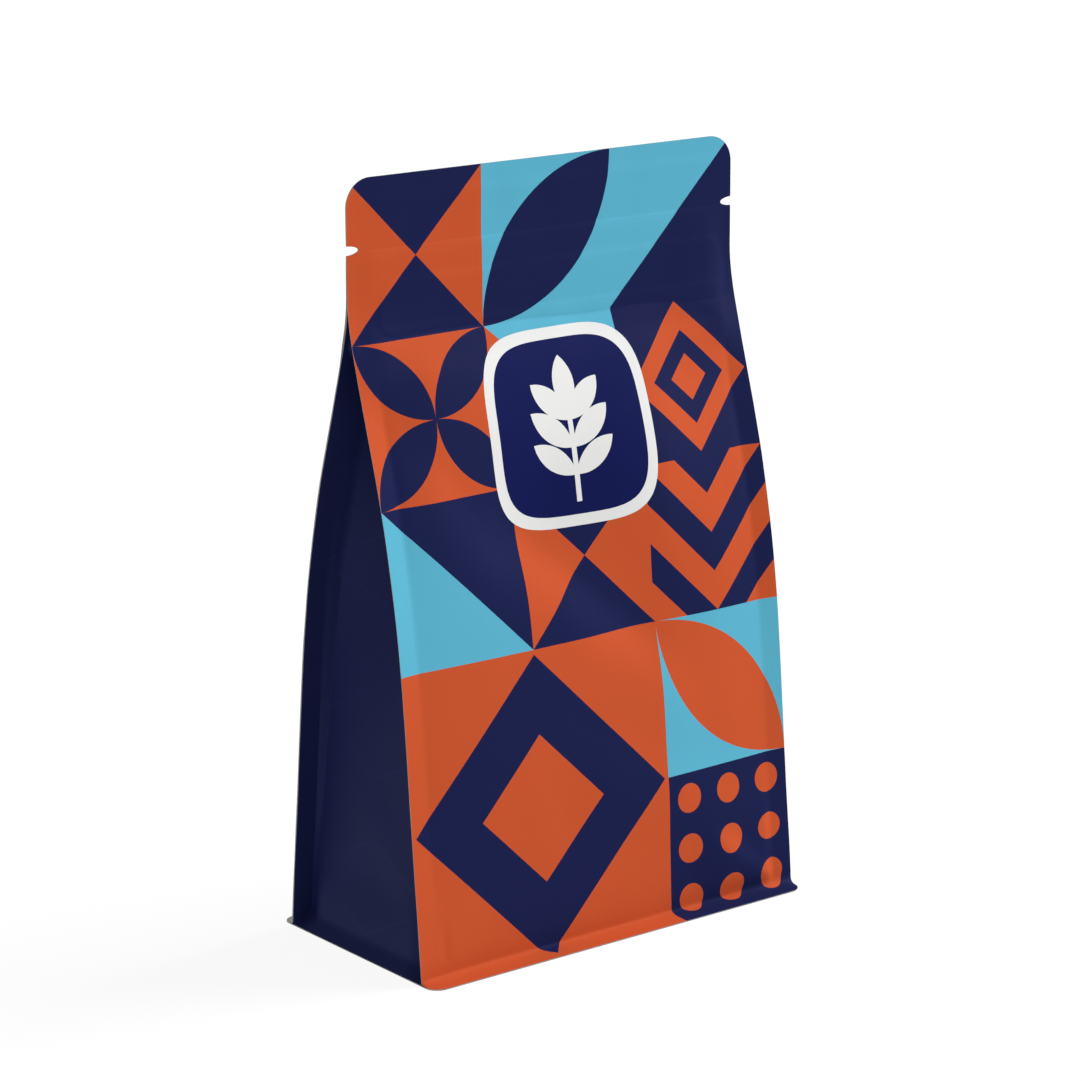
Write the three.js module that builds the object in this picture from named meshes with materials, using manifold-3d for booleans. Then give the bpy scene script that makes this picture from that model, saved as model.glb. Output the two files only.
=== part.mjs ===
// Flat-bottom pouch of printed film, full and shut, so it is one solid.
// Millimetres, +Z up, front panel towards -Y, origin at the centre of the base.

import * as THREE from 'three';
import { mergeVertices } from 'three/addons/utils/BufferGeometryUtils.js';
import Module from 'manifold-3d';

const wasm = await Module();
wasm.setup();

// Whole pouch
const WIDTH = 130; // header and side seals, edge to edge
const HEIGHT = 210; // base to top edge

// Header: the flat, sealed top with its rounded corners and tear notches
const HEADER_THICK = 1.2;
const CORNER_RADIUS = 7.5;
const NOTCH_BELOW_TOP = 18.5;
const NOTCH_DEPTH = 3.7;
const NOTCH_OPENING = 2.4;
const NOTCH_TIP = 0.5; // radius of the notch's inner end

// Zip: a flat band that stands proud on the front of the header
const ZIP_TOP = 183;
const ZIP_BOTTOM = 168.5;
const ZIP_INSET = 4; // from the side edge to the band's end
const ZIP_RELIEF = 0.5;

// Side seals: a thin fin down each of the four long edges
const FIN_WIDTH = 6;
const FIN_THICK = 0.8;
const FIN_SPLAY = 0.75; // how far a fin's outer edge leans away from the panel

// Bottom seal: a lip that flares out all round the base
const LIP_WIDTH = 130;
const LIP_DEPTH = 71;
const LIP_CORNER = 4;
const LIP_THICK = 0.6;
const LIP_HEIGHT = 6; // where the flare has run into the walls

// Stations of height and size that the bag's curves pass through
const EDGE_DEPTH = [
  [0, 30], [40, 26.3], [80, 22.4], [105, 18.7], [125, 14.3], [150, 6.9], [160, 3.9], [170, 1.3], [180, 0],
];
const SHOULDER = [[6, 0], [40, 1.4], [70, 2.3], [110, 2.8], [150, 3.4]];
const FOLD_DEPTH = [[10, 0], [40, 1.6], [80, 7], [120, 17], [150, 26], [172, 30]];
const FOLD_SHARPNESS = [[40, 0], [150, 1]];

const ROOT_X = WIDTH / 2 - FIN_WIDTH; // where the fins leave the panels
const GUSSET_TOP = 172; // above this the folded gusset is sealed flat
const LEVELS = [0, 3, 6, 10, 16, ...steps(24, 160, 8), 164, 167.5, 169.5, 174, 178, 182, 184, 190, 200, HEIGHT];

function steps(from, to, step) {
  const count = Math.round((to - from) / step);
  return Array.from({ length: count + 1 }, (_, i) => from + i * step);
}

// A smooth function of height through a few stations, constant beyond both ends.
function profile(stations) {
  const heights = Float64Array.from(stations, (s) => s[0]);
  const values = Float64Array.from(stations, (s) => s[1]);
  const curve = new THREE.CubicInterpolant(heights, values, 1, new Float64Array(1));
  return (z) => curve.evaluate(z)[0];
}

const edgeDepth = profile(EDGE_DEPTH);
const shoulder = profile(SHOULDER);
const foldDepth = profile(FOLD_DEPTH);
const foldSharpness = profile(FOLD_SHARPNESS);

// Half depth of the bag at the root of the fins.
function rootDepth(z) {
  const edge = edgeDepth(z);
  return edge - FIN_SPLAY * THREE.MathUtils.smoothstep(edge, 0, 10);
}

// Half depth of the outer film surface at any point of a panel, its fins included.
function panelDepth(x, z) {
  const beyondRoot = Math.max(Math.abs(x) - ROOT_X, 0) / FIN_WIDTH;
  const base = THREE.MathUtils.lerp(rootDepth(z), edgeDepth(z), beyondRoot);
  return Math.hypot(Math.max(base, 0), HEADER_THICK / 2);
}

// How far the zip band lifts the front of the header at a point.
function zipRelief(x, z) {
  const end = THREE.MathUtils.smoothstep(WIDTH / 2 - Math.abs(x), ZIP_INSET - 1, ZIP_INSET + 1);
  const low = THREE.MathUtils.smoothstep(z, ZIP_BOTTOM - 1, ZIP_BOTTOM + 1);
  const high = THREE.MathUtils.smoothstep(z, ZIP_TOP - 1, ZIP_TOP + 1);
  return ZIP_RELIEF * end * low * (1 - high);
}

// Closed geometry through rings of equally many points, each ring flat at its own height.
function loft(rings) {
  const size = rings[0].points.length;
  const positions = rings.flatMap(({ z, points }) => points.flatMap(([x, y]) => [x, y, z]));
  const indices = [];
  for (let level = 0; level < rings.length - 1; level += 1) {
    for (let i = 0; i < size; i += 1) {
      const a = level * size + i;
      const b = level * size + ((i + 1) % size);
      indices.push(a, b, b + size, a, b + size, a + size);
    }
  }
  addCap(positions, indices, rings[0], 0, true);
  addCap(positions, indices, rings.at(-1), (rings.length - 1) * size, false);
  const geometry = new THREE.BufferGeometry();
  geometry.setAttribute('position', new THREE.Float32BufferAttribute(positions, 3));
  geometry.setIndex(indices);
  return geometry;
}

// Closes a ring with a fan of triangles round the mean of its points.
function addCap(positions, indices, { z, points }, offset, facesDown) {
  const size = points.length;
  const centre = positions.length / 3;
  const sum = points.reduce((total, [x, y]) => [total[0] + x, total[1] + y], [0, 0]);
  positions.push(sum[0] / size, sum[1] / size, z);
  for (let i = 0; i < size; i += 1) {
    const a = offset + i;
    const b = offset + ((i + 1) % size);
    indices.push(...(facesDown ? [b, a, centre] : [a, b, centre]));
  }
}

function solidFrom(geometry) {
  const bare = geometry.clone();
  bare.deleteAttribute('normal');
  bare.deleteAttribute('uv');
  const merged = mergeVertices(bare, 1e-4);
  return new wasm.Manifold(new wasm.Mesh({
    numProp: 3,
    vertProperties: new Float32Array(merged.attributes.position.array),
    triVerts: new Uint32Array(merged.index.array),
  }));
}

function geometryFrom(solid) {
  const { vertProperties, triVerts } = solid.getMesh();
  const geometry = new THREE.BufferGeometry();
  geometry.setAttribute('position', new THREE.BufferAttribute(vertProperties, 3));
  geometry.setIndex(new THREE.BufferAttribute(triVerts, 1));
  geometry.computeVertexNormals();
  return geometry;
}

// The bag out to its panels and fin edges, with the side gussets not yet folded in.
function envelope() {
  const half = WIDTH / 2;
  const zipEnd = half - ZIP_INSET;
  const right = [ROOT_X, zipEnd - 1, zipEnd + 1, half];
  const across = [...right.map((x) => -x).toReversed(), ...right];
  const rings = LEVELS.map((z) => {
    const front = across.map((x) => [x, -panelDepth(x, z) - zipRelief(x, z)]);
    const back = across.toReversed().map((x) => [x, panelDepth(x, z)]);
    return { z, points: [...front, ...back] };
  });
  return solidFrom(loft(rings));
}

// Half of the film line of a folded gusset at one height, from a fin's edge to the centre fold.
function gussetLine(z) {
  const halfPoints = 7;
  const gap = Math.max(rootDepth(z) - FIN_THICK, 0.1);
  const edgeGap = Math.max(edgeDepth(z) - FIN_THICK, 0.1);
  const power = THREE.MathUtils.lerp(2, 1.15, foldSharpness(z));
  const lip = Math.max(Math.min(shoulder(z), foldDepth(z)), 0.05);
  const line = [[WIDTH / 2, edgeGap], [ROOT_X, gap]];
  for (let i = 0; i <= halfPoints; i += 1) {
    const out = 1 - i / halfPoints;
    const inward = lip + (foldDepth(z) - lip) * (1 - out ** power);
    line.push([ROOT_X - inward, gap * out]);
  }
  return line;
}

// The air between two neighbouring fins and the gusset's outer face.
function gussetSpace(side) {
  const beyond = WIDTH / 2 + 5;
  const heights = [-1, ...LEVELS.filter((z) => z > 0 && z < GUSSET_TOP), GUSSET_TOP];
  const rings = heights.map((z) => {
    const line = gussetLine(Math.max(z, 0));
    const back = [[beyond, line[0][1]], ...line];
    const front = back.slice(0, -1).toReversed().map(([x, y]) => [x, -y]);
    const points = [...back, ...front].map(([x, y]) => [side * x, y]);
    return { z, points: side > 0 ? points : points.toReversed() };
  });
  return solidFrom(loft(rings));
}

// Front outline: straight sides, two rounded top corners and a tear notch in each side.
function outlineBlock() {
  const half = WIDTH / 2;
  const notchZ = HEIGHT - NOTCH_BELOW_TOP;
  const tipX = half - NOTCH_DEPTH + NOTCH_TIP;
  const outline = new THREE.Shape();
  outline.moveTo(-half, -1);
  outline.lineTo(half, -1);
  outline.lineTo(half, notchZ - NOTCH_OPENING / 2);
  outline.lineTo(tipX, notchZ - NOTCH_TIP);
  outline.absarc(tipX, notchZ, NOTCH_TIP, -Math.PI / 2, Math.PI / 2, true);
  outline.lineTo(half, notchZ + NOTCH_OPENING / 2);
  outline.absarc(half - CORNER_RADIUS, HEIGHT - CORNER_RADIUS, CORNER_RADIUS, 0, Math.PI / 2, false);
  outline.absarc(-half + CORNER_RADIUS, HEIGHT - CORNER_RADIUS, CORNER_RADIUS, Math.PI / 2, Math.PI, false);
  outline.lineTo(-half, notchZ + NOTCH_OPENING / 2);
  outline.lineTo(-tipX, notchZ + NOTCH_TIP);
  outline.absarc(-tipX, notchZ, NOTCH_TIP, Math.PI / 2, -Math.PI / 2, true);
  outline.lineTo(-half, notchZ - NOTCH_OPENING / 2);
  outline.closePath();
  const block = new THREE.ExtrudeGeometry(outline, { depth: LIP_DEPTH + 10, bevelEnabled: false, curveSegments: 8 });
  block.translate(0, 0, -(LIP_DEPTH + 10) / 2);
  block.rotateX(Math.PI / 2);
  return solidFrom(block);
}

function roundedRectangle(halfWidth, halfDepth, radius) {
  const cornerSteps = 4;
  const points = [];
  for (let corner = 0; corner < 4; corner += 1) {
    const signX = corner === 0 || corner === 3 ? 1 : -1;
    const signY = corner < 2 ? 1 : -1;
    for (let i = 0; i <= cornerSteps; i += 1) {
      const angle = (corner + i / cornerSteps) * Math.PI / 2;
      const x = signX * (halfWidth - radius) + radius * Math.cos(angle);
      const y = signY * (halfDepth - radius) + radius * Math.sin(angle);
      points.push([x, y]);
    }
  }
  return points;
}

// The bottom lip: full size at the floor, with an S-shaped curve from there up into the walls.
function bottomLip() {
  const curveSteps = 8;
  const top = { width: ROOT_X - 0.2, depth: rootDepth(LIP_HEIGHT) - 0.2 };
  const rings = [{ z: 0, points: roundedRectangle(LIP_WIDTH / 2, LIP_DEPTH / 2, LIP_CORNER) }];
  for (let i = 0; i <= curveSteps; i += 1) {
    const z = THREE.MathUtils.lerp(LIP_THICK, LIP_HEIGHT, i / curveSteps);
    const inward = THREE.MathUtils.smoothstep(z, LIP_THICK, LIP_HEIGHT);
    const halfWidth = THREE.MathUtils.lerp(LIP_WIDTH / 2, top.width, inward);
    const halfDepth = THREE.MathUtils.lerp(LIP_DEPTH / 2, top.depth, inward);
    rings.push({ z, points: roundedRectangle(halfWidth, halfDepth, LIP_CORNER) });
  }
  return solidFrom(loft(rings));
}

function buildPouch() {
  const bag = envelope().subtract(gussetSpace(1)).subtract(gussetSpace(-1));
  const solid = bag.intersect(outlineBlock()).add(bottomLip());
  const film = new THREE.MeshStandardMaterial({ color: 0xc65a31, roughness: 0.5, metalness: 0 });
  const mesh = new THREE.Mesh(geometryFrom(solid), film);
  mesh.name = 'pouch';
  return mesh;
}

const model = new THREE.Group();
model.add(buildPouch());

export default model;
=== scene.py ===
import math

import bpy
import numpy as np
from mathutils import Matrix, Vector


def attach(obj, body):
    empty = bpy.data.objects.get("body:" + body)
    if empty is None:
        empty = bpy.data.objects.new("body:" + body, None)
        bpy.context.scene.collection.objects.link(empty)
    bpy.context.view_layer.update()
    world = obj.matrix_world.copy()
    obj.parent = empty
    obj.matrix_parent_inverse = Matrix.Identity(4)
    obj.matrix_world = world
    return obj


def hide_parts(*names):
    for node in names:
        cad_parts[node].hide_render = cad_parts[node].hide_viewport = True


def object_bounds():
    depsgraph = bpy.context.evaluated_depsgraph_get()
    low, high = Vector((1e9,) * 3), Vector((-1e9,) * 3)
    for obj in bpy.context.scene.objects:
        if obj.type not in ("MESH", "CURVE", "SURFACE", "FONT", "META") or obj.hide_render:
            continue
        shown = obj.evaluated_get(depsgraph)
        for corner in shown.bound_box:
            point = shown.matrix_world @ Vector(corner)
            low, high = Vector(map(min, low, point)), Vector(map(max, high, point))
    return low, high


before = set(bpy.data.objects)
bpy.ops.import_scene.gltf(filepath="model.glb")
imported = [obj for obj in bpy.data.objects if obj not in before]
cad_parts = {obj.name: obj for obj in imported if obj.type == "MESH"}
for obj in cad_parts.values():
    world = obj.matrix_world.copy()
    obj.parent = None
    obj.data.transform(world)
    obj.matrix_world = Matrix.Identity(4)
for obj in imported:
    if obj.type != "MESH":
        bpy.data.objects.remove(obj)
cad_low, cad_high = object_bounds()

# ---------------------------------------------------------------------------------------------
# Front panel. One web of satin laminated film, printed under its outer ply and metallised
# inside. Heat seals join it to both side gussets, to the base and, across the header, to the
# rear panel. Sizes are in millimetres; make_film turns them into metres.

MM = 0.001
WIDTH, BASE_DEPTH, HEIGHT = ((high - low) / MM for low, high in zip(cad_low, cad_high))
HALF_WIDTH = WIDTH / 2
FILM = 0.16  # thickness of one web
HEADER_HALF = FILM + 0.03  # two webs lie face to face in the header

FIN_WIDTH = 6.0  # heat seal down each long edge of the body
FIN_SPLAY = 1.0  # how far a fin's outer edge leans away from the panel
FIN_TWIST = 0.15  # how much more that is at the right fins, and less at the left ones
FIN_SPLAY_FOOT = 0.35  # share of the splay that is there at the foot
FIN_SPLAY_RISE = (20, 120)  # heights between which it grows to the whole
FIN_OPENS = (4, 9)  # half depths of the bag's edge between which the splay sets in
FIN_PULL = 0.4  # share of the splay by which a fin's root stands out instead, where the edges close
FIN_PULL_STARTS, FIN_PULL_ENDS = (0, 2), (4, 7)  # half depths between which that sets in, and fades
FIN_ROOT = HALF_WIDTH - FIN_WIDTH
EDGE_DEPTH = [(0, 29.95), (10, 29.15), (30, 27.2), (60, 24.5), (90, 21.2), (110, 17.7), (130, 12.9),
              (150, 6.85), (160, 3.9), (170, 1.3), (176, 0.35), (184, 0), (HEIGHT, 0)]

TOP_CORNER = 7.5
NOTCH_HEIGHT = HEIGHT - 18.5
NOTCH_DEPTH = 3.7
NOTCH_HALF_MOUTH = 1.25
NOTCH_FULLNESS = 1.6  # 1 is a parabola, 2 an ellipse

LIP_TOP = 1.9  # where the wall starts to curve out into the base seal
LIP_CLIMB = 2.0  # how much higher that is beside the right-hand fins
LIP_CLIMB_RUN = 20  # the distance inwards from those fins over which it climbs
LIP_EDGE = 0.35  # height of the film's cut edge over the floor
LIP_CURVE = ((0.02, 0.7), (0.25, 0.45))  # middle points of its curve: share of the reach, height
LIP_CORNER = 4.2
LIP_MITRE = (9.0, 5.2)  # what the rear panel's lip lacks at each corner, along and inwards
LIP_MITRE_CURVE = 1.2  # 1 is a straight cut
SETTLED = 24.0  # above this height the mesh rows are level

TOP_CORNER_ROWS = 13  # rows and columns of the mesh
LIP_ROWS = 16
BODY_COLUMNS = 119
SEAL_COLUMNS = 4
LIP_CORNER_COLUMNS = 9


def smooth_step(value, low, high):
    share = np.clip((value - low) / (high - low), 0, 1)
    return share * share * (3 - 2 * share)


def smooth_curve(stations):
    """A natural cubic spline through (height, value) stations."""
    at, value = np.array(stations, float).T
    step, last = np.diff(at), len(at) - 1
    matrix, right = np.eye(len(at)), np.zeros(len(at))
    for i in range(1, last):
        matrix[i, i - 1:i + 2] = step[i - 1], 2 * (step[i - 1] + step[i]), step[i]
        right[i] = 6 * ((value[i + 1] - value[i]) / step[i] - (value[i] - value[i - 1]) / step[i - 1])
    bend = np.linalg.solve(matrix, right)

    def curve(height):
        i = np.clip(np.searchsorted(at, height, "right") - 1, 0, last - 1)
        after, before = height - at[i], at[i + 1] - height
        cubic = (bend[i] * before ** 3 + bend[i + 1] * after ** 3) / (6 * step[i])
        start = value[i] / step[i] - bend[i] * step[i] / 6
        end = value[i + 1] / step[i] - bend[i + 1] * step[i] / 6
        return cubic + start * before + end * after

    return curve


edge_curve = smooth_curve(EDGE_DEPTH)


def edge_depth(height):
    return np.maximum(edge_curve(height), 0)


def root_depth(height, x):
    """Depth of the panel where the fin begins, on the side of the bag that x lies on."""
    edge = edge_depth(height)
    grown = FIN_SPLAY_FOOT + (1 - FIN_SPLAY_FOOT) * smooth_step(height, *FIN_SPLAY_RISE)
    splay = (FIN_SPLAY + FIN_TWIST * np.sign(x)) * grown
    pulled = FIN_PULL * smooth_step(edge, *FIN_PULL_STARTS) * (1 - smooth_step(edge, *FIN_PULL_ENDS))
    return edge - splay * (smooth_step(edge, *FIN_OPENS) - pulled)


def flare(t):
    """The lip's curve from wall (t = 0) to cut edge (t = 1): share of the reach, and height."""
    before, early, late, after = (1 - t) ** 3, 3 * t * (1 - t) ** 2, 3 * t ** 2 * (1 - t), t ** 3
    (early_reach, early_height), (late_reach, late_height) = LIP_CURVE
    reach = early_reach * early + late_reach * late + after
    height = LIP_TOP * before + early_height * early + late_height * late + LIP_EDGE * after
    return reach, height


def row_heights():
    """Heights of the mesh rows down the wall, closest where the outline or the relief needs it."""
    corner = HEIGHT - TOP_CORNER * (1 - np.sin(np.linspace(np.pi / 2, 0, TOP_CORNER_ROWS)))
    notch_top, notch_bottom = NOTCH_HEIGHT + NOTCH_HALF_MOUTH, NOTCH_HEIGHT - NOTCH_HALF_MOUTH
    # from, to, and the number of rows
    stretches = [(HEIGHT - TOP_CORNER, notch_top, 14),
                 (notch_top, notch_bottom, 22),
                 (notch_bottom, 172, 26),
                 (172, 163, 22),
                 (163, 12, 126),
                 (12, LIP_TOP, 11)]
    runs = [np.linspace(start, end, count + 1)[1:] for start, end, count in stretches]
    return np.concatenate([corner, *runs])


wall_rows = row_heights()
lip_reach, lip_height = flare(np.linspace(0, 1, LIP_ROWS + 1)[1:])
ROW_HEIGHT = np.concatenate([wall_rows, lip_height])
ROW_REACH = np.concatenate([np.zeros(len(wall_rows)), lip_reach])
ROW_DEPTH = edge_depth(np.maximum(ROW_HEIGHT, LIP_TOP))
ROW_DEPTH += (BASE_DEPTH / 2 - ROW_DEPTH) * ROW_REACH
ROW_DROP = np.concatenate([[0], np.cumsum(np.hypot(np.diff(ROW_HEIGHT), np.diff(ROW_DEPTH)))])
FILM_LENGTH = ROW_DROP[-1]
lip_turn = 1 - np.sin(np.linspace(0, np.pi / 2, LIP_CORNER_COLUMNS)[1:])
side_columns = np.concatenate([np.linspace(FIN_ROOT, HALF_WIDTH - LIP_CORNER, SEAL_COLUMNS)[1:],
                               HALF_WIDTH - LIP_CORNER * lip_turn])
body_columns = np.linspace(-FIN_ROOT, FIN_ROOT, BODY_COLUMNS)
COLUMNS = np.concatenate([-side_columns[::-1], body_columns, side_columns])


def outline_half_width(height):
    """Half width of a panel at each row: rounded top corners and tear notches."""
    above = np.clip(height - (HEIGHT - TOP_CORNER), 0, TOP_CORNER)
    half = HALF_WIDTH - TOP_CORNER + np.sqrt(TOP_CORNER ** 2 - above ** 2)
    off_notch = np.minimum(np.abs(height - NOTCH_HEIGHT) / NOTCH_HALF_MOUTH, 1)
    return half - NOTCH_DEPTH * (1 - off_notch ** 2) ** (1 / NOTCH_FULLNESS)


def lip_outline(x):
    """How far from the middle the lip's cut edge lies: the rounded plan of the base."""
    past = np.clip(np.abs(x) - (HALF_WIDTH - LIP_CORNER), 0, LIP_CORNER)
    return BASE_DEPTH / 2 - LIP_CORNER + np.sqrt(LIP_CORNER ** 2 - past ** 2)


def mitred_outline(x):
    """The same for the rear panel, whose lip is cut back aslant at its corners."""
    along, inward = LIP_MITRE
    past = np.clip(np.abs(x) - (HALF_WIDTH - along), 0, along)
    return BASE_DEPTH / 2 - inward * (past / along) ** LIP_MITRE_CURVE


def row_level(height, x):
    """Height over the floor of a mesh row at a place across. The lip climbs to the right fins."""
    lip_top = LIP_TOP + LIP_CLIMB * smooth_step(x, FIN_ROOT - LIP_CLIMB_RUN, FIN_ROOT)
    low = LIP_EDGE + (height - LIP_EDGE) * (lip_top - LIP_EDGE) / (LIP_TOP - LIP_EDGE)
    high = SETTLED - (SETTLED - height) * (SETTLED - lip_top) / (SETTLED - LIP_TOP)
    return np.where(height < LIP_TOP, low, np.where(height < SETTLED, high, height))


# The filled body starts at the crease below the zip: place across, and the crease's height there.
# Then the distance down from the crease, and how far the middle of the panel stands out there.
CREASE = [(-HALF_WIDTH, 167.4), (-35, 168.0), (0, 167.2), (20, 166.6), (30, 167.0), (54, 165.9),
          (HALF_WIDTH, 166.4)]
BELLY = [(0, 0), (8, 3.8), (18, 7.6), (28, 10.8), (48, 16.0), (68, 19.9), (88, 22.7), (108, 24.9),
         (128, 26.8), (148, 28.1), (163, 28.8), (170, 29)]
CROWN = 3.5  # how evenly full the panel is across: 2 is a parabola, higher is flatter
ZIP_STIFFENS = (158, 168.5)  # between these heights the stiff zip draws the panel straight across
ZIP_HOLD = 3  # how far towards the edges it does so: higher reaches further
OUTLINE_BAND = 11  # the outline's corners and notches only draw in this much at each edge
crease_height = smooth_curve(CREASE)
belly = smooth_curve(BELLY)


def wall_depth(column, wall, z):
    """How far a panel's outer face stands from the middle plane, without its relief or lip."""
    on_fin = np.clip((np.abs(column) - FIN_ROOT) / FIN_WIDTH, 0, 1)
    root = root_depth(wall, column)
    fin_depth = root + (edge_depth(wall) - root) * on_fin
    full = 1 - np.clip(np.abs(column) / FIN_ROOT, 0, 1) ** CROWN
    zip_straight = smooth_step(z, *ZIP_STIFFENS) * (1 - (np.abs(column) / HALF_WIDTH) ** ZIP_HOLD)
    middle_depth = belly(np.maximum(crease_height(column) - np.maximum(z, LIP_TOP), 0))
    return np.hypot(fin_depth + (middle_depth - fin_depth) * np.maximum(full, zip_straight), HEADER_HALF)


def panel_grid(relief, outline):
    """Points of a panel's outer face, top row first, for the panel that faces -Y."""
    height, column = np.meshgrid(ROW_HEIGHT, COLUMNS, indexing="ij")
    half = outline_half_width(ROW_HEIGHT)[:, None]
    kept = HALF_WIDTH - OUTLINE_BAND
    share = (half - kept) / (HALF_WIDTH - kept)
    drawn_in = np.sign(column) * (kept + (np.abs(column) - kept) * share)
    x = np.where(np.abs(column) > kept, drawn_in, column)
    z = row_level(height, x)
    depth = wall_depth(column, np.maximum(height, LIP_TOP), z)
    depth += (outline(x) - depth) * ROW_REACH[:, None]
    return np.stack([x, -depth - relief(x, z) * (1 - ROW_REACH[:, None]), z], axis=-1)


# Steps in the header, where the seals end and the zip begins: height, how far the film steps out,
# and the distance over which it does so.
HEADER_STEPS = [(205.3, 0.12, 0.9), (202.8, -0.12, 2.2), (191.2, 0.32, 2.0), (170.8, 0.20, 1.2)]
ZIP_TOP = 183.6
ZIP_ENDS = (-56.0, 62.0)
ZIP_CORNER = 6.0
ZIP_STANDS_OUT = 0.18
ZIP_BELOW_CREASE = 0.5
ZIP_EDGES = (2.2, 0.6)  # widths of the zip band's soft upper edge and of its sharper lower one
STEP_START = 0.8  # distance over which a step sets in
STEPS_END = (160, 167)  # heights between which the steps fade out below the header
STEPS_SIDE = (2, 10)  # distances from the side edges between which they set in


def header_relief(x, z):
    lift = np.zeros_like(x)
    for height, out, settle in HEADER_STEPS:
        below = np.maximum(height - z, 0)
        lift += out * (1 - np.exp(-below / settle)) * smooth_step(below, 0, STEP_START)
    lift *= smooth_step(z, *STEPS_END) * smooth_step(HALF_WIDTH - np.abs(x), *STEPS_SIDE)
    zip_bottom = crease_height(x) - ZIP_BELOW_CREASE
    middle, half_high = (ZIP_TOP + zip_bottom) / 2, (ZIP_TOP - zip_bottom) / 2
    left, right = ZIP_ENDS
    off_end = np.maximum(x - (right - ZIP_CORNER), 0) + np.maximum(left + ZIP_CORNER - x, 0)
    off_middle = np.maximum(np.abs(z - middle) - (half_high - ZIP_CORNER), 0)
    inside = ZIP_CORNER - np.hypot(off_end, off_middle)
    edge_width = np.where(z > middle, *ZIP_EDGES)
    return lift + ZIP_STANDS_OUT * smooth_step(inside / edge_width, 0, 1)


# Soft folds of the filled body: start and end (x, z), height, and the width on the side towards
# the upper right and on the side towards the lower left.
FOLDS = [((-39, 129), (-28, 113), -1.25, 19, 9),
         ((-14, 110), (12, 88), -2.4, 25, 9.5),
         ((-40, 160), (-42, 138), 1.1, 22, 13),
         ((26, 135), (24, 62), 0.5, 12, 15),
         ((45, 104), (44, 56), 0.3, 9, 12),
         ((2, 44), (54, 19), 0.5, 9, 11),
         ((42.3, 13.8), (56, 3.6), 1.1, 4.2, 11)]
RIGHT_SHOULDER = ((56.5, 178), (56.5, 157), 0.55, 6, 14)  # where the zip's end holds the film out
# Round bulges and dents: centre (x, z), size (x, z), height.
BULGES = [((22, 128), (26, 32), 1.1),
          ((-57.2, 9), (2.0, 5), -0.25)]
FOLD_END = 0.6  # a fold's ends fade over this share of its two widths
FOLDS_BY_FIN = 3  # the folds and bulges fade out over this distance from the fins,
FOLDS_BY_CREASE = 12  # over this one from the crease,
FOLDS_BY_LIP = (LIP_TOP - 2, LIP_TOP + 5)  # and between these heights towards the lip


def fold(x, z, start, end, height, upper, lower):
    """A straight soft fold with one width on each side and rounded ends."""
    along = np.subtract(end, start) / math.dist(start, end)
    run = (x - start[0]) * along[0] + (z - start[1]) * along[1]
    off = (z - start[1]) * along[0] - (x - start[0]) * along[1]
    width = np.where(off > 0, upper, lower)
    past = np.maximum(-run, 0) + np.maximum(run - math.dist(start, end), 0)
    return height * np.exp(-(off / width) ** 2 - (past / (FOLD_END * (upper + lower))) ** 2)


def body_relief(x, z):
    lift = sum(fold(x, z, *one) for one in FOLDS)
    for (at_x, at_z), (wide, high), height in BULGES:
        lift += height * np.exp(-((x - at_x) / wide) ** 2 - ((z - at_z) / high) ** 2)
    by_fin = smooth_step(FIN_ROOT - np.abs(x), 0, FOLDS_BY_FIN)
    by_crease = smooth_step(crease_height(x) - z, 0, FOLDS_BY_CREASE)
    return lift * by_fin * by_crease * smooth_step(z, *FOLDS_BY_LIP)


RIPPLE_WAVES = 10
RIPPLE_LENGTHS = (9, 30)
RIPPLE_HEIGHT = 0.03
RIPPLE_SUM = 60  # divides the sum of the waves, each of which is as high as it is long


def ripple(x, z, seed):
    """The slight unevenness of a heat-sealed film: a few long waves in all directions."""
    draw = np.random.default_rng(seed)
    total = np.zeros_like(x)
    for _ in range(RIPPLE_WAVES):
        turn = draw.uniform(0, np.pi)
        wavelength = draw.uniform(*RIPPLE_LENGTHS)
        phase = draw.uniform(0, 2 * np.pi)
        run = x * math.cos(turn) + z * math.sin(turn)
        total += np.cos(run * 2 * np.pi / wavelength + phase) * wavelength
    return total * RIPPLE_HEIGHT / RIPPLE_SUM


def front_relief(x, z):
    shoulder = fold(x, z, *RIGHT_SHOULDER)
    return header_relief(x, z) + body_relief(x, z) + shoulder + ripple(x, z, 3)


class Value:
    """A shader socket. Arithmetic on it adds Math nodes to its tree."""

    def __init__(self, nodes, socket):
        self.nodes, self.socket = nodes, socket

    def maths(self, operation, *others, clamp=False):
        inputs = dict(enumerate((self, *others)))
        return self.nodes.node("ShaderNodeMath", {"operation": operation, "use_clamp": clamp}, inputs)

    def reflected(self, operation, other):
        return self.nodes.node("ShaderNodeMath", {"operation": operation}, {0: other, 1: self})

    def __add__(self, other):
        return self.maths("ADD", other)

    def __sub__(self, other):
        return self.maths("SUBTRACT", other)

    def __rsub__(self, other):
        return self.reflected("SUBTRACT", other)

    def __mul__(self, other):
        return self.maths("MULTIPLY", other)

    def __truediv__(self, other):
        return self.maths("DIVIDE", other)

    def __lt__(self, other):
        return self.maths("LESS_THAN", other)

    def __gt__(self, other):
        return self.maths("GREATER_THAN", other)

    def __abs__(self):
        return self.maths("ABSOLUTE")

    __radd__, __rmul__ = __add__, __mul__

    def fraction(self):
        return self.maths("FRACT")

    def root(self):
        return self.maths("SQRT")


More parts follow.
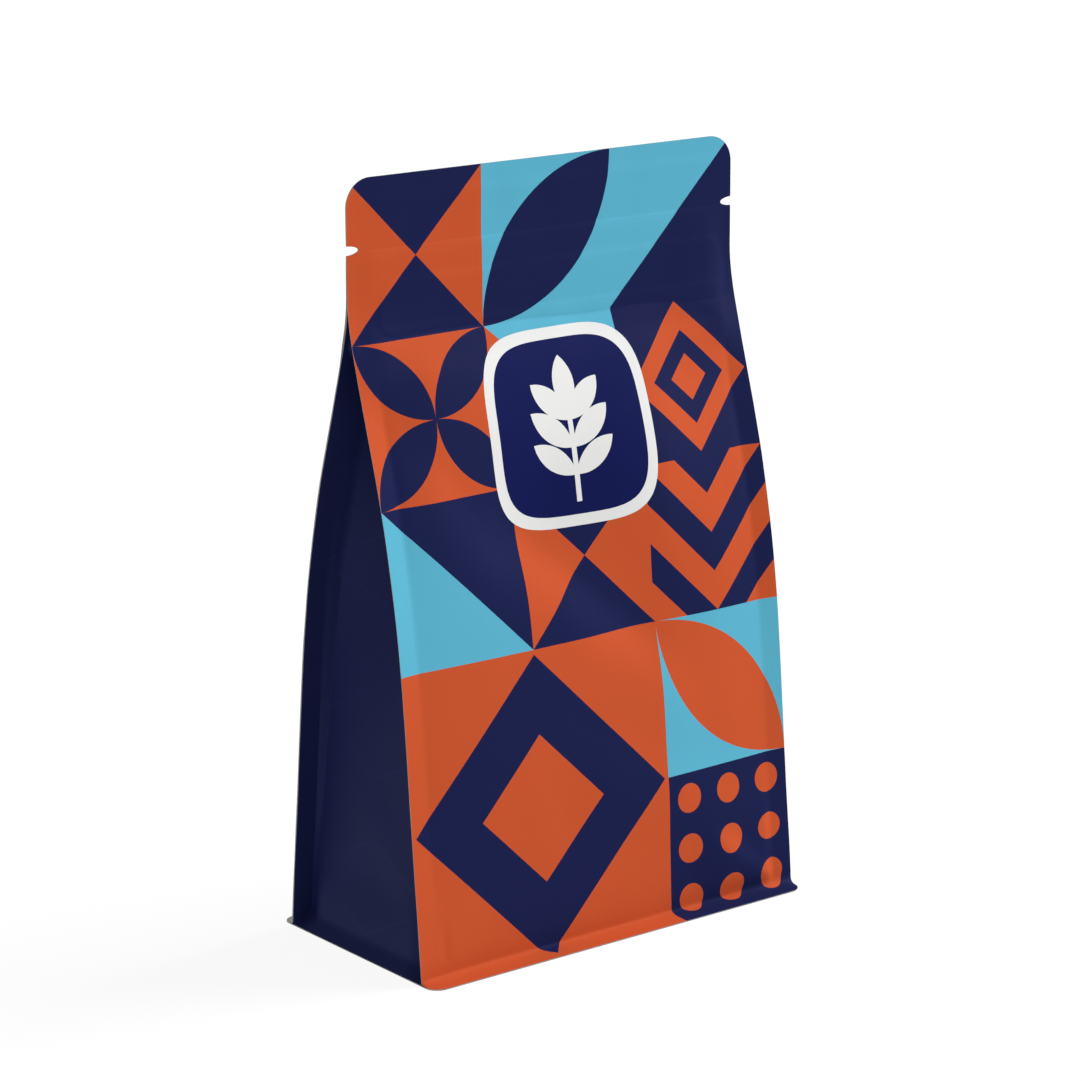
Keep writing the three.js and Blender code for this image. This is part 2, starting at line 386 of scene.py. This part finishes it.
class Nodes:
    """A node tree, and whatever nodes the expressions on its values add to it."""

    def __init__(self, tree):
        self.tree = tree

    def feed(self, socket, value):
        if isinstance(value, Value):
            self.tree.links.new(value.socket, socket)
        else:
            socket.default_value = value

    def node(self, kind, settings=None, inputs=None, output=0):
        added = self.tree.nodes.new(kind)
        for name, value in (settings or {}).items():
            setattr(added, name, value)
        for name, value in (inputs or {}).items():
            self.feed(added.inputs[name], value)
        return Value(self, added.outputs[output])

    def mix(self, share, under, over):
        return self.node("ShaderNodeMix", {"data_type": "RGBA"}, {0: share, 6: under, 7: over}, output=2)


class Finish(Nodes):
    """A material whose Principled shader is fed from values, colours and expressions."""

    def __init__(self, name, **surface):
        self.material = bpy.data.materials.new(name)
        self.material.use_nodes = True
        super().__init__(self.material.node_tree)
        self.set(**surface)

    def set(self, **inputs):
        for name, value in inputs.items():
            self.feed(self.tree.nodes["Principled BSDF"].inputs[name.replace("_", " ")], value)

    def film_place(self):
        """Millimetres across the film from its centre line, and down it from its top edge."""
        uv = self.node("ShaderNodeUVMap", {"uv_map": "film"})
        across = self.node("ShaderNodeSeparateXYZ", inputs={0: uv})
        down = self.node("ShaderNodeSeparateXYZ", inputs={0: uv}, output=1)
        return (across - 0.5) * WIDTH, (1 - down) * FILM_LENGTH

    def noise(self, across, down, size):
        """Noise from 0 to 1 with features of about this many millimetres."""
        place = self.node("ShaderNodeCombineXYZ", inputs={0: across, 1: down})
        inputs = {"Vector": place, "Scale": 1 / size, "Detail": 2.0}
        return self.node("ShaderNodeTexNoise", inputs=inputs)

    def bump(self, height, depth):
        """Relief that is this many millimetres deep for a height of 1."""
        inputs = {"Strength": 1.0, "Distance": depth * MM, "Height": height}
        return self.node("ShaderNodeBump", inputs=inputs)


def ink(red, green, blue):
    """Linear colour of an ink given in screen values from 0 to 255."""
    screen = [value / 255 for value in (red, green, blue)]
    linear = [c / 12.92 if c <= 0.04045 else ((c + 0.055) / 1.055) ** 2.4 for c in screen]
    return (*linear, 1.0)


ORANGE = ink(177, 74, 40)
# Navy ink with a painted sheen: its red and green are raised a little to carry the lacquer's haze of
# reflection.
NAVY_INK_AND_SHEEN = ink(22, 27, 66)
LABEL_NAVY = ink(15, 21, 71)
LIGHT_BLUE = ink(80, 156, 180)
WHITE = ink(204, 204, 203)
GLOSS = 0.02  # of the satin lacquer over the inks


def length(a, b):
    return (a * a + b * b).root()


# Motifs. Each gives 1 inside its figure, for p and q from -1 to 1 across and down its block.

def diamond_frame(p, q):
    return abs(abs(p) + abs(q) - 0.72) < 0.25


def nested_diamonds(p, q):
    rings = abs(p) + abs(q)
    return (rings < 0.96) * (abs(rings - 0.45) > 0.15)


def hourglass(p, q):
    return abs(p) < abs(q)


def bow(p, q):
    return abs(q) < abs(p)


def triangle(p, q):
    return p + q > 0


def leaf(p, q):
    return (length(p + 1, q - 1) < 2) * (length(p - 1, q + 1) < 2)


def petals(p, q):
    return (length(abs(p) - 1, q) < 1) * (length(p, abs(q) - 1) < 1)


def chevrons(p, q):
    return (q + abs(p)).fraction() < 0.5


def dots(p, q):
    """Three rows of three."""
    across = ((p + 1) * 1.5).fraction() - 0.5
    down = ((q + 1) * 1.5).fraction() - 0.5
    return length(across, down) < 0.29


# The print is a patchwork of square blocks. Column, row and size are in cells, then come the
# ground's ink, the figure's ink, the motif, and -1 where the motif is mirrored across.
CELLS_ACROSS, CELLS_DOWN = 6, 10
CELL = WIDTH / CELLS_ACROSS
BLOCKS = [(0, 0, 2, NAVY_INK_AND_SHEEN, ORANGE, bow, 1),
          (2, 0, 2, LIGHT_BLUE, NAVY_INK_AND_SHEEN, leaf, -1),
          (4, 0, 2, LIGHT_BLUE, NAVY_INK_AND_SHEEN, triangle, 1),
          (0, 2, 2, ORANGE, NAVY_INK_AND_SHEEN, petals, 1),
          (2, 2, 2, LIGHT_BLUE, ORANGE, triangle, -1),
          (4, 2, 2, NAVY_INK_AND_SHEEN, ORANGE, nested_diamonds, 1),
          (0, 4, 2, NAVY_INK_AND_SHEEN, LIGHT_BLUE, triangle, -1),
          (2, 4, 2, ORANGE, NAVY_INK_AND_SHEEN, hourglass, 1),
          (4, 4, 2, ORANGE, NAVY_INK_AND_SHEEN, chevrons, 1),
          (0, 6, 4, ORANGE, NAVY_INK_AND_SHEEN, diamond_frame, 1),
          (4, 6, 2, LIGHT_BLUE, ORANGE, leaf, 1),
          (4, 8, 2, NAVY_INK_AND_SHEEN, ORANGE, dots, 1)]


def patchwork(finish, across, down):
    """The printed colour at a place on the film."""
    colour = ORANGE
    for column, row, size, ground, figure, motif, mirrored in BLOCKS:
        half = size * CELL / 2
        p = (across - (column + size / 2 - CELLS_ACROSS / 2) * CELL) / (half * mirrored)
        q = (down - (row + size / 2) * CELL) / half
        reach = 2.0 if row + size == CELLS_DOWN else 1.0  # the lowest blocks run on over the lip
        inside = (abs(p) < 1) * (q > -1) * (q < reach)
        colour = finish.mix(inside, colour, ground)
        colour = finish.mix(inside * motif(p, q), colour, figure)
    return colour


LABEL_CENTRE = 73.0  # down the film from its top edge
LABEL_HALF = 27.0
LABEL_BORDER = 3.1


def label_shape(p, q, half):
    """A square with sides that bow out and wide rounded corners."""
    return (p * p * p * p + q * q * q * q) < half ** 4


def blade(p, q, root, angle, long, wide):
    """A leaf blade that grows from a point on the stem at an angle from the upright."""
    sine, cosine = math.sin(math.radians(angle)), math.cos(math.radians(angle))
    along = p * sine + (root - q) * cosine - long / 2
    off = abs(p * cosine - (root - q) * sine)
    radius = ((long / 2) ** 2 + (wide / 2) ** 2) / wide
    return length(along, off + (radius - wide / 2)) < radius


# Leaves of the sprig: root's place down the label, angle from the stem, length and width.
SPRIG = [(-4.0, 0, 15.5, 7.0), (-2.0, 46, 15.5, 6.6), (5.5, 50, 16.5, 6.8), (13.0, 54, 16.0, 6.4)]
STEM = (-6.0, 20.5, 0.8)  # top, bottom, half width


def label(finish, colour, across, down):
    """A plain label with a white border and a sprig of leaves."""
    p, q = abs(across), down - LABEL_CENTRE
    colour = finish.mix(label_shape(p, q, LABEL_HALF), colour, WHITE)
    colour = finish.mix(label_shape(p, q, LABEL_HALF - LABEL_BORDER), colour, LABEL_NAVY)
    for root, angle, long, wide in SPRIG:
        colour = finish.mix(blade(p, q, root, angle, long, wide), colour, WHITE)
    top, bottom, half_wide = STEM
    stem = (p < half_wide) * (q > top) * (q < bottom)
    return finish.mix(stem, colour, WHITE)


GRAIN_SIZE, CLOUD_SIZE = 0.35, 14.0
GRAIN_HEIGHT, CLOUD_HEIGHT = 0.3, 4.0  # in units of the lacquer's relief
LACQUER_RELIEF = 0.01
LACQUER_ROUGHNESS = 0.55
ROUGHNESS_SPREAD = 0.05  # what the grain adds to that, and the cloud too


def satin(finish, across, down):
    """Roughness and relief of the satin lacquer: a fine grain over a slow, cloudy unevenness."""
    grain = finish.noise(across, down, GRAIN_SIZE)
    cloud = finish.noise(across, down, CLOUD_SIZE)
    finish.set(Roughness=LACQUER_ROUGHNESS + ROUGHNESS_SPREAD * grain + ROUGHNESS_SPREAD * cloud)
    finish.set(Normal=finish.bump(grain * GRAIN_HEIGHT + cloud * CLOUD_HEIGHT, LACQUER_RELIEF))


def printed_finish(name, labelled, turned):
    """The printed outer face. The rear panel carries the same patchwork turned upside down."""
    finish = Finish(name, Specular_IOR_Level=GLOSS)
    across, down = finish.film_place()
    if turned:
        colour = patchwork(finish, 0 - across, FILM_LENGTH - down)
    else:
        colour = patchwork(finish, across, down)
    if labelled:
        colour = label(finish, colour, across, down)
    finish.set(Base_Color=colour)
    satin(finish, across, down)
    return finish.material


def inner_finish():
    """The sealing face: dull metallised film, seen where a corner of the lip stands free."""
    finish = Finish("metallised_inner_face", Metallic=0.55, Specular_IOR_Level=0.4)
    across, down = finish.film_place()
    haze = finish.noise(across, down, size=3.0)
    finish.set(Base_Color=finish.mix(haze, ink(188, 188, 179), ink(206, 205, 197)))
    finish.set(Roughness=0.38 + 0.15 * haze)
    finish.set(Normal=finish.bump(haze, depth=0.02))
    return finish.material


def cut_edge_finish():
    """The slit edge of the laminate: grey, with paler flecks where the plies are cut unevenly."""
    finish = Finish("slit_edge", Specular_IOR_Level=0.3)
    across, down = finish.film_place()
    fleck = finish.noise(across, down, size=0.8)
    finish.set(Base_Color=finish.mix(fleck, ink(112, 110, 112), ink(150, 148, 146)))
    finish.set(Roughness=0.55 + 0.1 * fleck)
    return finish.material


INNER_FACE = inner_finish()
CUT_EDGE = cut_edge_finish()
SHARP_TURN = math.radians(35)  # a steeper turn between two faces is an edge


def grid_normals(points):
    """Unit normals of a grid of points, on the side from which rows run down and columns right."""
    down, across = np.gradient(points, axis=0), np.gradient(points, axis=1)
    normal = np.cross(down, across)
    return normal / np.maximum(np.linalg.norm(normal, axis=-1, keepdims=True), 1e-9)


def make_film(name, printed, across, drop, finish):
    """One closed sheet of film behind the grid of its printed face, with its cut edge all round."""
    rows, columns = printed.shape[:2]
    sealing = printed - grid_normals(printed) * FILM
    vertices = np.concatenate([printed.reshape(-1, 3), sealing.reshape(-1, 3)]) * MM
    index = np.arange(rows * columns).reshape(rows, columns)
    front = np.stack([index[:-1, :-1], index[1:, :-1], index[1:, 1:], index[:-1, 1:]], -1)
    front = front.reshape(-1, 4)
    back = front[:, ::-1] + rows * columns
    border = np.concatenate([index[0, :-1], index[:-1, -1], index[-1, :0:-1], index[:0:-1, 0]])
    after = np.roll(border, -1)
    rim = np.stack([border, after, after + rows * columns, border + rows * columns], -1)
    faces = np.concatenate([front, back, rim])
    mesh = bpy.data.meshes.new(name)
    mesh.from_pydata(vertices.tolist(), [], faces.tolist())
    place = np.stack([across / WIDTH + 0.5, 1 - drop / FILM_LENGTH], -1).reshape(-1, 2)
    both_faces = np.tile(place, (2, 1))
    mesh.uv_layers.new(name="film").data.foreach_set("uv", both_faces[faces.ravel()].ravel())
    for material in (finish, INNER_FACE, CUT_EDGE):
        mesh.materials.append(material)
    kinds = np.repeat([0, 1, 2], [len(front), len(back), len(rim)])
    mesh.polygons.foreach_set("material_index", kinds)
    mesh.polygons.foreach_set("use_smooth", np.ones(len(faces), bool))
    mesh.set_sharp_from_angle(angle=SHARP_TURN)
    mesh.validate()
    piece = bpy.data.objects.new(name, mesh)
    bpy.context.scene.collection.objects.link(piece)
    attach(piece, "root")
    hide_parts("pouch")


front_points = panel_grid(front_relief, lip_outline)
panel_drop = np.broadcast_to(ROW_DROP[:, None], front_points.shape[:2])
make_film("front_panel", front_points, front_points[..., 0], panel_drop,
          printed_finish("front_print", labelled=True, turned=False))

# ---------------------------------------------------------------------------------------------
# Rear panel. The same web and seals as the front, without the zip's relief or the label. Its
# lip is cut back at the two base corners, where the metallised side of the base shows.

REAR_STEPS = 0.6  # how high the header's steps are here, as a share of the front's


def rear_relief(x, z):
    lift = ripple(x, z, 8)
    for height, out, settle in HEADER_STEPS:
        settled = 1 - np.exp(-np.maximum(height - z, 0) / settle)
        lift += REAR_STEPS * out * settled * smooth_step(z, *STEPS_END)
    return lift


rear_points = panel_grid(rear_relief, mitred_outline)[:, ::-1] * (1, -1, 1)
make_film("rear_panel", rear_points, -rear_points[..., 0], panel_drop,
          printed_finish("rear_print", labelled=False, turned=True))

# ---------------------------------------------------------------------------------------------
# Side gussets. Two webs of navy film with a faint pattern. Each is sealed between the edges of both
# panels to make the fins, stands almost flat at the base and folds inwards towards the header,
# where its two halves lie between the panels and end inside the zip's seal.

GUSSET_TOP = 178.0
GUSSET_PINCH = (156, 166)  # where the panels close on the fold and only the fins' share goes on up
GUSSET_PINCHED = 0.1  # the share of its width that is left there
GUSSET_BEND = 4.0  # below this height the gusset turns out flat, down to the floor
FOOT_BOW = 3.0  # how far the contents push the gusset's foot out
FOOT_BOW_TOP = 22.0  # the height where that ends
FOOT_BOW_SIDE = 9  # distance from the fins over which it sets in
FOLD_DEPTH = [(0, 0), (20, 0.3), (40, 1.6), (80, 7), (120, 17), (150, 26), (GUSSET_TOP, 31)]
SHOULDER = [(0, 0), (10, 0.2), (40, 1.4), (70, 2.3), (110, 2.8), (150, 3.4), (GUSSET_TOP, 3.4)]
GUSSET_GLOSS = 0.07  # this film's lacquer is glossier than the panels'
SHOULDER_TURN = 0.06  # share of the gusset's half over which it turns in from the fin to that depth
GUSSET_INSET = 0.1  # from the fin's outer edge
GUSSET_BOND = 2 * FILM + 0.02  # the panel's web and this one
GUSSET_GAP = 0.03  # least distance from the middle plane
GUSSET_LIP_HALF = BASE_DEPTH / 2 - LIP_CORNER - 0.6  # its lip stops short of the panels' lips
GUSSET_LIP_FOLD = 1.5  # length of that lip which the folded-down fin takes up at each end
FOLD_ROUND, FOLD_SHARPER = 2, 0.85  # power of the fold's curve at the foot, and what it loses on the
FOLD_FROM, FOLD_OVER = 40, 110  # way up: from this height, over this distance
FIN_COLUMNS = 7
FOLD_COLUMNS = 26
FOLD_CROWDING = 1.3  # above 1 the columns lie closer by the fin
CORNER_CREASES = [((-28, 6), (0, 36), 0.45, 7, 7), ((28, 6), (0, 36), 0.45, 7, 7)]
CREASES_SIDE = 6  # the creases fade out over this distance from the fins,
CREASES_FOOT = (GUSSET_BEND, GUSSET_BEND + 8)  # and between these heights towards the bend
fold_depth = smooth_curve(FOLD_DEPTH)
shoulder_depth = smooth_curve(SHOULDER)


def gusset_relief(y, z, side):
    """Soft creases from the base corners up to the middle fold, and the film's unevenness."""
    lift = sum(fold(y, z, *one) for one in CORNER_CREASES) * smooth_step(z, *CREASES_FOOT)
    by_fin = smooth_step(root_depth(z, side) - np.abs(y), 0, CREASES_SIDE)
    return lift * by_fin + ripple(y, z, 5 + side)


def gusset_grid(side):
    """Points of a gusset's printed face, top row first, seen from outside."""
    rows = ROW_HEIGHT <= GUSSET_TOP
    height, reach = ROW_HEIGHT[rows][:, None], ROW_REACH[rows][:, None]
    wall = np.maximum(height, LIP_TOP)
    flat_lip = np.clip((GUSSET_BEND - height) / (GUSSET_BEND - LIP_EDGE), 0, 1)
    edge = np.maximum(np.hypot(edge_depth(wall), HEADER_HALF) - GUSSET_BOND, GUSSET_GAP)
    root = np.maximum(np.hypot(root_depth(wall, side), HEADER_HALF) - GUSSET_BOND, GUSSET_GAP)
    shoulder = np.clip(shoulder_depth(wall), 0, np.maximum(fold_depth(wall), 0))
    across_fin = np.linspace(0, 1, FIN_COLUMNS)[None, :]
    across_fold = 1 - np.linspace(0, 1, FOLD_COLUMNS + 1)[None, 1:] ** FOLD_CROWDING
    power = FOLD_ROUND - FOLD_SHARPER * np.clip((wall - FOLD_FROM) / FOLD_OVER, 0, 1)
    inward = shoulder * smooth_step(1 - across_fold, 0, SHOULDER_TURN)
    inward = inward + (fold_depth(wall) - shoulder) * (1 - across_fold ** power)
    outermost, fin_width = HALF_WIDTH - GUSSET_INSET, FIN_WIDTH - GUSSET_INSET
    drawn_in = np.concatenate([fin_width * across_fin + 0 * wall,
                               fin_width + np.maximum(inward, 0)], axis=1)
    pinched = 1 - (1 - GUSSET_PINCHED) * smooth_step(wall, *GUSSET_PINCH)
    wall_x = outermost - drawn_in * pinched
    wall_y = np.concatenate([edge + (root - edge) * across_fin, root * across_fold], axis=1)
    room = wall_depth(side * wall_x, wall, wall) - GUSSET_BOND  # inside the panel at that place
    wall_y = np.clip(wall_y, 0, np.maximum(room, GUSSET_GAP))
    fin_foot = GUSSET_LIP_HALF - GUSSET_LIP_FOLD * across_fin
    fold_foot = (GUSSET_LIP_HALF - GUSSET_LIP_FOLD) * across_fold
    foot_y = np.concatenate([fin_foot, fold_foot], axis=1)
    x = wall_x + (outermost - wall_x) * flat_lip
    y = wall_y + (foot_y - wall_y) * reach
    x, y = np.concatenate([x, x[:, -2::-1]], axis=1), np.concatenate([y, -y[:, -2::-1]], axis=1)
    z = row_level(height, side * HALF_WIDTH) + 0 * x
    bow = FOOT_BOW * (1 - smooth_step(z, GUSSET_BEND, FOOT_BOW_TOP))
    bow = bow * smooth_step(root - np.abs(y), 0, FOOT_BOW_SIDE)
    x = x + (gusset_relief(y, z, side) + bow) * (1 - flat_lip)
    return np.stack([side * x, -side * y, z], axis=-1)


DIAMOND_HALF, DIAMOND_LINE = 1.2, 0.012  # in cells: its half diagonal, and half its outline's width


def gusset_finish():
    """Navy film with faint outlines of diamonds, a tone lighter than the ground."""
    finish = Finish("gusset_print", Specular_IOR_Level=GUSSET_GLOSS)
    across, down = finish.film_place()
    p, q = abs(across / CELL), (down / CELL / 2).fraction() * 4 - 2
    outline = abs(p + abs(q) - DIAMOND_HALF) < DIAMOND_LINE
    finish.set(Base_Color=finish.mix(outline, NAVY_INK_AND_SHEEN, ink(26, 31, 78)))
    satin(finish, across, down)
    return finish.material


GUSSET_PRINT = gusset_finish()
for side, name in ((-1, "left_gusset"), (1, "right_gusset")):
    gusset_points = gusset_grid(side)
    steps = np.linalg.norm(np.diff(gusset_points, axis=1), axis=-1)
    gusset_across = np.concatenate([np.zeros((len(steps), 1)), np.cumsum(steps, axis=1)], axis=1)
    gusset_across -= gusset_across[:, -1:] / 2
    gusset_drop = np.broadcast_to(ROW_DROP[ROW_HEIGHT <= GUSSET_TOP][:, None], gusset_across.shape)
    make_film(name, gusset_points, gusset_across, gusset_drop, GUSSET_PRINT)

# ---------------------------------------------------------------------------------------------
# Base. A flat web of the gusset film that closes the bag from below. Its edge is sealed under
# the lip all round, and inside the seal it lifts off the floor, with a crease along its middle
# where it was folded before the bag was filled.

BASE_INSET = 0.1  # from the lip's cut edge
BASE_CLEARANCE = 0.01  # between the seal and the floor
BASE_SEAL = 6.0
BASE_LIFT = 1.1
BASE_LIFT_STARTS, BASE_LIFT_ENDS = BASE_SEAL - 1, BASE_SEAL + 4  # distances from the edge
BASE_CREASE = 0.5
BASE_CREASE_WIDTH = 1.2
BASE_CREASE_FADE = 8  # the crease fades out over this distance towards the seal
BASE_TURN_COLUMNS = 10
BASE_COLUMNS = 90
BASE_ROWS = 61


def base_grid():
    """Points of the base's printed face, seen from below."""
    half_x, half_y = HALF_WIDTH - BASE_INSET, BASE_DEPTH / 2 - BASE_INSET
    turn = LIP_CORNER * (1 - np.sin(np.linspace(0, np.pi / 2, BASE_TURN_COLUMNS)[1:]))
    x = np.concatenate([turn[::-1] - half_x,
                        np.linspace(LIP_CORNER - half_x, half_x - LIP_CORNER, BASE_COLUMNS),
                        half_x - turn])[:, None]
    y = (lip_outline(x) - BASE_INSET) * np.linspace(1, -1, BASE_ROWS)
    from_edge = np.minimum(half_x - np.abs(x), half_y - np.abs(y))
    lift = BASE_LIFT * smooth_step(from_edge, BASE_LIFT_STARTS, BASE_LIFT_ENDS)
    crease = BASE_CREASE * np.exp(-(y / BASE_CREASE_WIDTH) ** 2)
    crease = crease * smooth_step(from_edge, BASE_SEAL, BASE_SEAL + BASE_CREASE_FADE)
    return np.stack([x + 0 * y, y, BASE_CLEARANCE + lift + crease], axis=-1)


base_points = base_grid()
make_film("base", base_points, base_points[..., 1], base_points[..., 0] + HALF_WIDTH, GUSSET_PRINT)

# ---------------------------------------------------------------------------------------------
# Studio: a wide pale floor that glows so that it stays white, a dim dome that is brighter near
# the horizon, a large soft key light from the upper right and a weak fill light from the left.

FLOOR_SIZE = 8.0
FLOOR_GLOW = 0.91
FLOOR_PAPER = 0.10

floor_finish = Finish("pale_floor", Roughness=0.9, Specular_IOR_Level=0.0)
floor_finish.set(Base_Color=(FLOOR_PAPER, FLOOR_PAPER, FLOOR_PAPER, 1.0))
floor_finish.set(Emission_Color=(1.0, 1.0, 1.0, 1.0), Emission_Strength=FLOOR_GLOW)
floor_mesh = bpy.data.meshes.new("floor")
half_floor = FLOOR_SIZE / 2
floor_corners = [(-half_floor, -half_floor, 0), (half_floor, -half_floor, 0),
                 (half_floor, half_floor, 0), (-half_floor, half_floor, 0)]
floor_mesh.from_pydata(floor_corners, [], [(0, 1, 2, 3)])
floor_mesh.materials.append(floor_finish.material)
floor = bpy.data.objects.new("floor", floor_mesh)
bpy.context.scene.collection.objects.link(floor)

DOME_HORIZON = 0.9
DOME_ABOVE = 0.23
DOME_RISE = 0.25  # sine of the elevation above which the dome is dimmer

world = bpy.data.worlds.new("dome")
world.use_nodes = True
bpy.context.scene.world = world
dome = Nodes(world.node_tree)
direction = dome.node("ShaderNodeTexCoord", output=0)
up = dome.node("ShaderNodeSeparateXYZ", inputs={0: direction}, output=2)
high_up = up.maths("DIVIDE", DOME_RISE, clamp=True)
background = world.node_tree.nodes["Background"]
dome.feed(background.inputs["Color"], (1.0, 1.0, 1.0, 1.0))
dome.feed(background.inputs["Strength"], DOME_HORIZON + (DOME_ABOVE - DOME_HORIZON) * high_up)


SOFTBOX_SIZE = 4.0
SOFTBOX_DISTANCE = 6.0  # both in metres


def soft_light(name, direction, power):
    """A square softbox that faces the middle of the pouch."""
    light = bpy.data.lights.new(name, "AREA")
    light.shape = "SQUARE"
    light.size = SOFTBOX_SIZE
    light.energy = power
    box = bpy.data.objects.new(name, light)
    direction = Vector(direction).normalized()
    box.location = direction * SOFTBOX_DISTANCE + Vector((0, 0, HEIGHT * MM / 2))
    box.rotation_euler = direction.to_track_quat("Z", "Y").to_euler()
    bpy.context.scene.collection.objects.link(box)


soft_light("key", (0.816, -0.232, 0.531), power=750.0)
soft_light("fill", (-0.85, -0.45, 0.25), power=110.0)

bpy.context.scene.view_settings.view_transform = "Standard"

# ---------------------------------------------------------------------------------------------
# Camera, at the photograph's viewing angle and distance.

CAMERA_AZIMUTH = math.radians(-38.285)
CAMERA_ELEVATION = math.radians(14.470)
CAMERA_DISTANCE = 1.05264  # metres from the middle of the base
CAMERA_RIGHT = -0.00117  # metres off that line, to the right and up
CAMERA_UP = 0.10139
CAMERA_LENS = 125.55  # millimetres

back = Vector((math.sin(CAMERA_AZIMUTH) * math.cos(CAMERA_ELEVATION),
               -math.cos(CAMERA_AZIMUTH) * math.cos(CAMERA_ELEVATION),
               math.sin(CAMERA_ELEVATION)))
right = Vector((math.cos(CAMERA_AZIMUTH), math.sin(CAMERA_AZIMUTH), 0))
lens = bpy.data.cameras.new("camera")
lens.lens = CAMERA_LENS
lens.sensor_width = 36.0
lens.clip_start, lens.clip_end = 0.05, 50.0
camera = bpy.data.objects.new("camera", lens)
camera.location = back * CAMERA_DISTANCE + right * CAMERA_RIGHT + back.cross(right) * CAMERA_UP
camera.rotation_euler = (-back).to_track_quat("-Z", "Y").to_euler()
bpy.context.scene.collection.objects.link(camera)
bpy.context.scene.camera = camera
